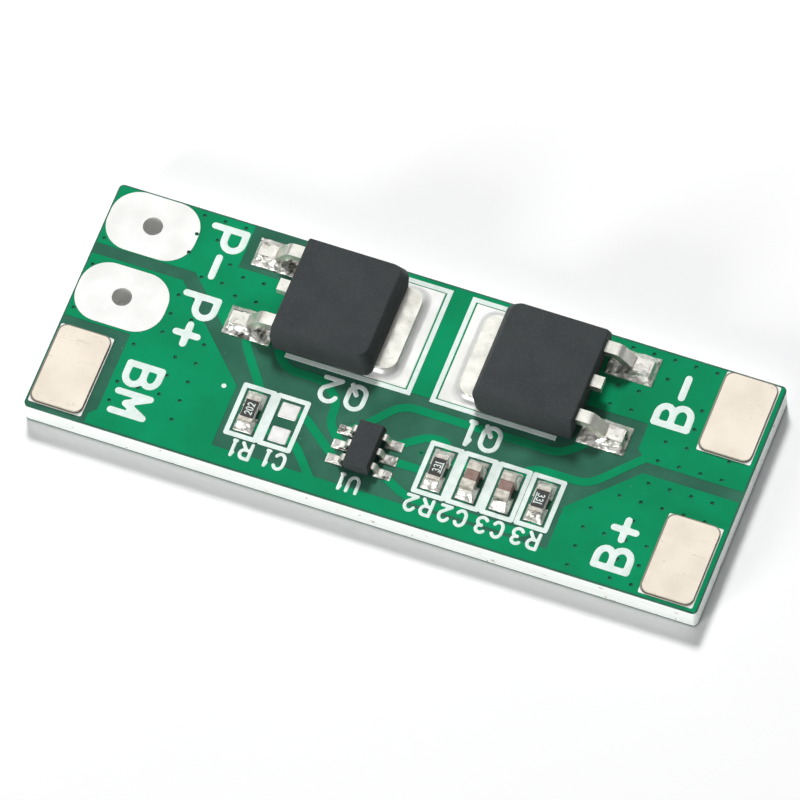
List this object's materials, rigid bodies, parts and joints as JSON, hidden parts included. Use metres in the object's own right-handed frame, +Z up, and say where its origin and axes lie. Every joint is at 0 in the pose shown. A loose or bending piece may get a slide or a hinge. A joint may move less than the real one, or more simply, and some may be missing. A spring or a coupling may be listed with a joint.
{
  "type": "battery management board",
  "caption": "Narrow double-sided circuit board that guards a battery pack: power transistors, control chip, spot-weld cell tabs and plated holes for the output wires.",
  "frame": {"origin": "centre of the board's underside", "axes": "+X along the board from the output pads to the cell tabs at the far end, +Y across it from the chip row to the power transistors, +Z up out of the component side"},
  "size_m": [0.04, 0.015, 0.0036],
  "materials": {
    "laminate": "glass-epoxy laminate, satin routed edge, pale green-white",
    "copper": "bare rolled copper, satin",
    "solder_mask": "green liquid solder mask, semi-gloss, duller where there is no copper under it",
    "legend": "white screen-printed epoxy ink, matte",
    "tinned_pad": "hot-air levelled tin, bright and slightly domed",
    "solder": "reflowed solder, satin with dark flux streaks",
    "nickel": "nickel strip, satin, warm white",
    "mould_compound": "black epoxy moulding compound, fine matte grain",
    "lead_frame": "tin-plated copper lead frame, satin",
    "terminal": "plated tin, satin",
    "resistor_glaze": "black glaze over the resistor element",
    "resistor_ceramic": "white alumina",
    "capacitor_ceramic": "pink-brown barium titanate ceramic"
  },
  "bodies": {
    "root": {"substrate": "laminate", "top_copper": "copper", "underside_copper": "copper", "via_barrels": "copper", "top_solder_mask": "solder_mask", "underside_solder_mask": "solder_mask", "legend_outlines": "legend", "p_minus_pad": "tinned_pad", "p_plus_pad": "tinned_pad", "b_minus_solder": "tinned_pad", "b_plus_solder": "tinned_pad", "bm_solder": "tinned_pad", "b_minus_tab": "nickel", "b_plus_tab": "nickel", "bm_tab": "nickel", "q1_body": "mould_compound", "q1_drain_tab": "lead_frame", "q1_gate_lead": "lead_frame", "q1_source_lead": "lead_frame", "q1_drain_solder": "solder", "q1_gate_solder": "solder", "q1_source_solder": "solder", "q2_body": "mould_compound", "q2_drain_tab": "lead_frame", "q2_gate_lead": "lead_frame", "q2_source_lead": "lead_frame", "q2_drain_solder": "solder", "q2_gate_solder": "solder", "q2_source_solder": "solder", "u1_body": "mould_compound", "u1_leads": "lead_frame", "u1_solder": "solder", "r1_ceramic": "resistor_ceramic", "r1_glaze": "resistor_glaze", "r1_terminals": "terminal", "r1_solder": "solder", "r2_ceramic": "resistor_ceramic", "r2_glaze": "resistor_glaze", "r2_terminals": "terminal", "r2_solder": "solder", "r3_ceramic": "resistor_ceramic", "r3_glaze": "resistor_glaze", "r3_terminals": "terminal", "r3_solder": "solder", "c2_ceramic": "capacitor_ceramic", "c2_terminals": "terminal", "c2_solder": "solder", "c3_ceramic": "capacitor_ceramic", "c3_terminals": "terminal", "c3_solder": "solder", "c1_bare_pads": "tinned_pad"}
  },
  "joints": []
}
